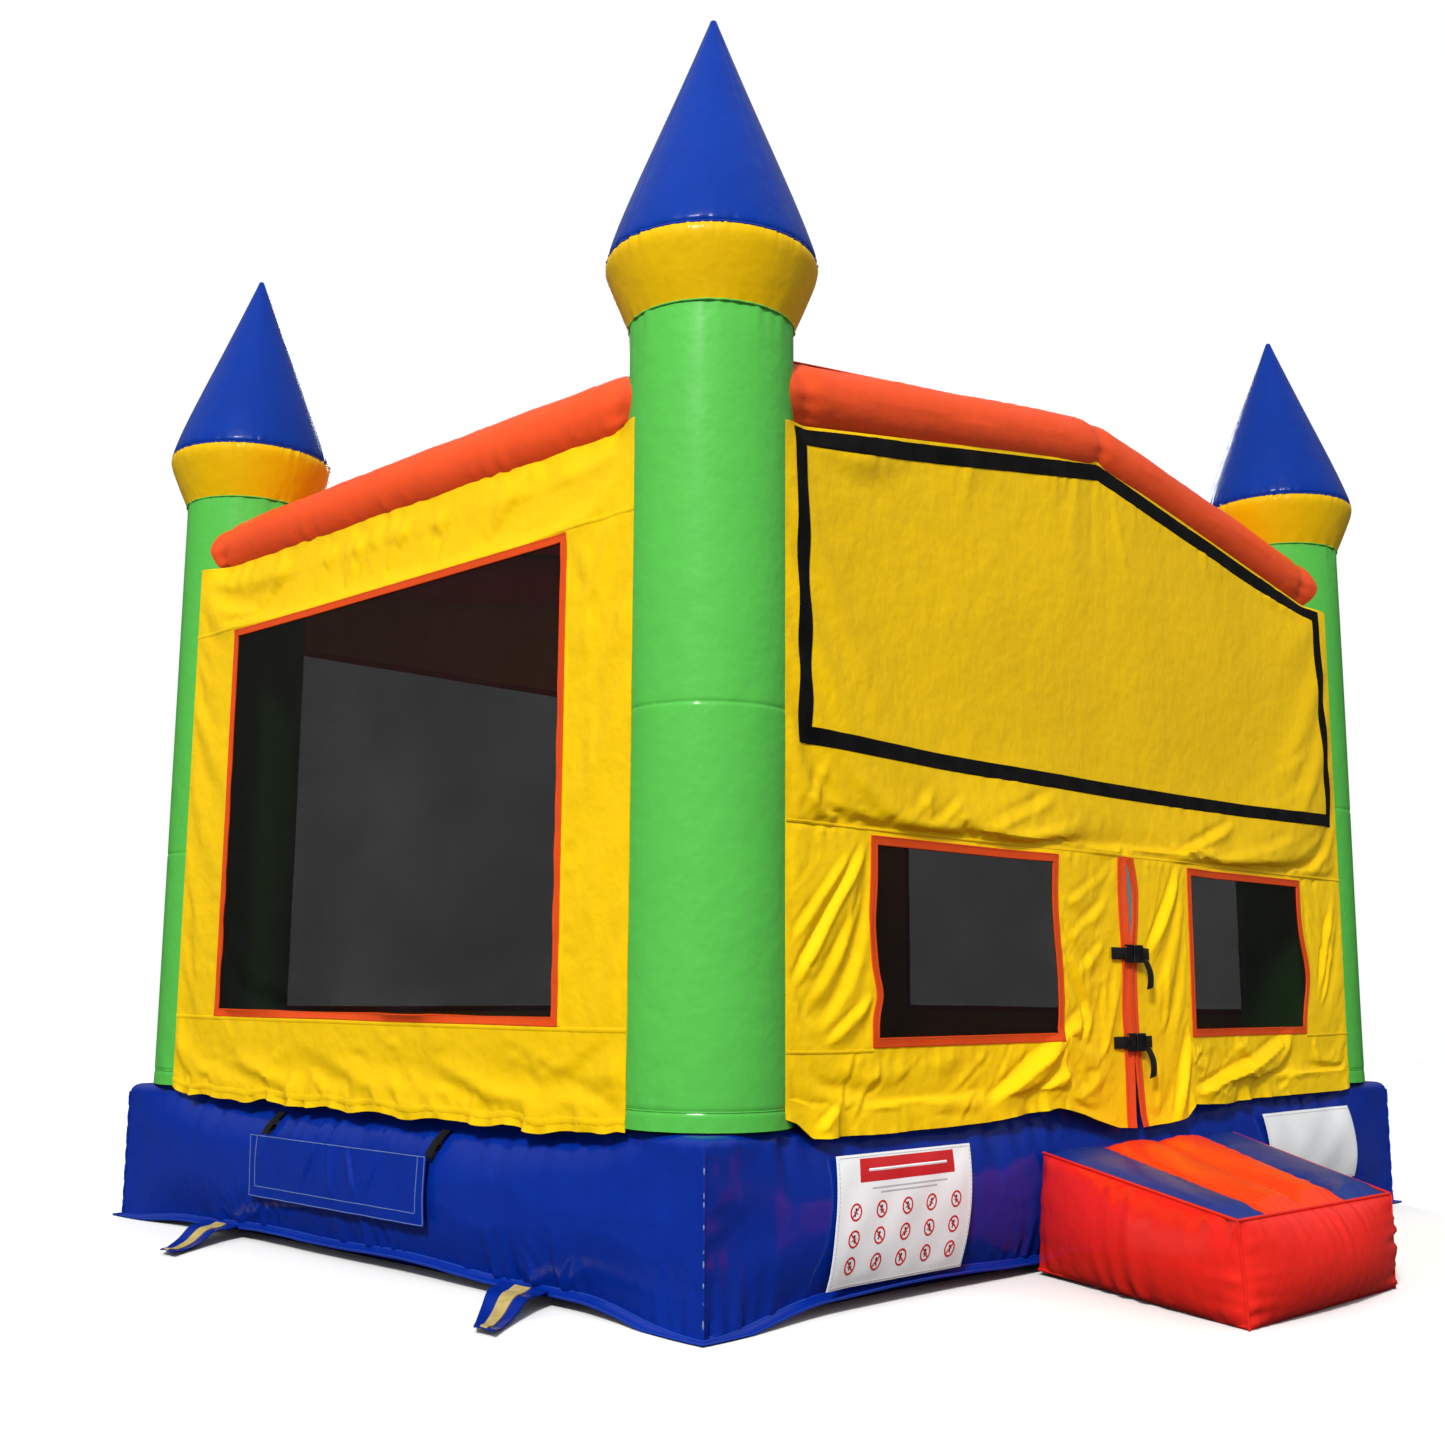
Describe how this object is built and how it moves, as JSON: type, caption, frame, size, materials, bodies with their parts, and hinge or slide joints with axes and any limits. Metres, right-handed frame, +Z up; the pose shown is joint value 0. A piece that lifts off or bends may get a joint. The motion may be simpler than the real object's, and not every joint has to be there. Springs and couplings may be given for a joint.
{
  "type": "inflatable bounce house",
  "caption": "Inflatable bounce house: blown base, corner columns with spires, gabled roof, mesh-window walls, a buckled slit doorway and an entry step.",
  "frame": {"origin": "centre of the base's underside, on the ground", "axes": "+Z up; the front, with the doorway and the step, faces -Y; +X is to the right seen from the front"},
  "size_m": [4.668, 4.1356, 3.75],
  "materials": {
    "blue_vinyl": "glossy coated vinyl cloth",
    "green_vinyl": "glossy coated vinyl cloth",
    "yellow_vinyl": "satin coated vinyl cloth",
    "orange_vinyl": "satin coated vinyl cloth",
    "red_vinyl": "glossy coated vinyl cloth",
    "mesh_netting": "open knitted netting",
    "black_webbing": "woven webbing and hook-and-loop tape",
    "black_plastic": "moulded, slightly glossy",
    "white_sheet": "printed sheet in a clear pocket",
    "zipper_tape": "woven zipper tape with coil teeth"
  },
  "bodies": {
    "house": {"banner_frame": "black_webbing", "base_baffle_1": "blue_vinyl", "base_baffle_2": "blue_vinyl", "base_baffle_3": "blue_vinyl", "base_shell": "blue_vinyl", "blank_sign": "white_sheet", "blower_inlet": "blue_vinyl", "collar_back_left": "yellow_vinyl", "collar_back_right": "yellow_vinyl", "collar_front_left": "yellow_vinyl", "collar_front_right": "yellow_vinyl", "column_back_left": "green_vinyl", "column_back_right": "green_vinyl", "column_front_left": "green_vinyl", "column_front_right": "green_vinyl", "deflation_zipper": "zipper_tape", "eave_beam_left": "orange_vinyl", "eave_beam_right": "orange_vinyl", "gable_beam_back": "orange_vinyl", "gable_beam_front": "orange_vinyl", "roof_sheet_left": "orange_vinyl", "roof_sheet_right": "orange_vinyl", "safety_sign": "white_sheet", "spire_back_left": "blue_vinyl", "spire_back_right": "blue_vinyl", "spire_front_left": "blue_vinyl", "spire_front_right": "blue_vinyl", "step_chamber": "red_vinyl", "wall_back": "yellow_vinyl", "wall_front_gable": "yellow_vinyl", "wall_front_left": "yellow_vinyl", "wall_front_right": "yellow_vinyl", "wall_left": "yellow_vinyl", "wall_right": "yellow_vinyl", "window_mesh_back": "mesh_netting", "window_mesh_front_left": "mesh_netting", "window_mesh_front_right": "mesh_netting", "window_mesh_left": "mesh_netting", "window_mesh_right": "mesh_netting", "window_trim_back": "orange_vinyl", "window_trim_front_left": "orange_vinyl", "window_trim_front_right": "orange_vinyl", "window_trim_left": "orange_vinyl", "window_trim_right": "orange_vinyl"},
    "door_left": {"door_flap_left": "yellow_vinyl", "upper_strap_left": "black_webbing", "lower_strap_left": "black_webbing"},
    "door_right": {"door_flap_right": "yellow_vinyl", "upper_strap_right": "black_webbing", "lower_strap_right": "black_webbing", "upper_buckle_socket": "black_plastic", "lower_buckle_socket": "black_plastic"},
    "upper_tongue": {"upper_buckle_tongue": "black_plastic"},
    "lower_tongue": {"lower_buckle_tongue": "black_plastic"},
    "vent_cover": {"deflation_flap": "blue_vinyl"},
    "zip_pull": {"zipper_slider": "black_plastic"},
    "tab_left_front": {"anchor_tab_left_front": "blue_vinyl"},
    "tab_left_back": {"anchor_tab_left_back": "blue_vinyl"},
    "tab_right_front": {"anchor_tab_right_front": "blue_vinyl"},
    "tab_right_back": {"anchor_tab_right_back": "blue_vinyl"}
  },
  "joints": [
    {"name": "door_left_swing", "type": "hinge", "parent": "house", "child": "door_left", "pos_m": [-0.378, -1.588, 0.8625], "axis": [0, 0, -1], "range_deg": [0, 105]},
    {"name": "door_right_swing", "type": "hinge", "parent": "house", "child": "door_right", "pos_m": [0.378, -1.588, 0.8625], "axis": [0, 0, 1], "range_deg": [0, 105]},
    {"name": "upper_buckle_release", "type": "slide", "parent": "door_left", "child": "upper_tongue", "axis": [-1, 0, 0], "range_m": [0, 0.05]},
    {"name": "lower_buckle_release", "type": "slide", "parent": "door_left", "child": "lower_tongue", "axis": [-1, 0, 0], "range_m": [0, 0.05]},
    {"name": "vent_cover_lift", "type": "hinge", "parent": "house", "child": "vent_cover", "pos_m": [-2.016, 0.1075, 0.366], "axis": [0, 1, 0], "range_deg": [0, 150]},
    {"name": "zipper_run", "type": "slide", "parent": "house", "child": "zip_pull", "axis": [0, 1, 0], "range_m": [0, 0.83]},
    {"name": "tab_left_front_lift", "type": "hinge", "parent": "house", "child": "tab_left_front", "pos_m": [-2.004, -0.85, 0.0055], "axis": [0, 1, 0], "range_deg": [0, 80]},
    {"name": "tab_left_back_lift", "type": "hinge", "parent": "house", "child": "tab_left_back", "pos_m": [-2.004, 0.84, 0.0055], "axis": [0, 1, 0], "range_deg": [0, 80]},
    {"name": "tab_right_front_lift", "type": "hinge", "parent": "house", "child": "tab_right_front", "pos_m": [2.004, -0.85, 0.0055], "axis": [0, -1, 0], "range_deg": [0, 80]},
    {"name": "tab_right_back_lift", "type": "hinge", "parent": "house", "child": "tab_right_back", "pos_m": [2.004, 0.84, 0.0055], "axis": [0, -1, 0], "range_deg": [0, 80]}
  ]
}
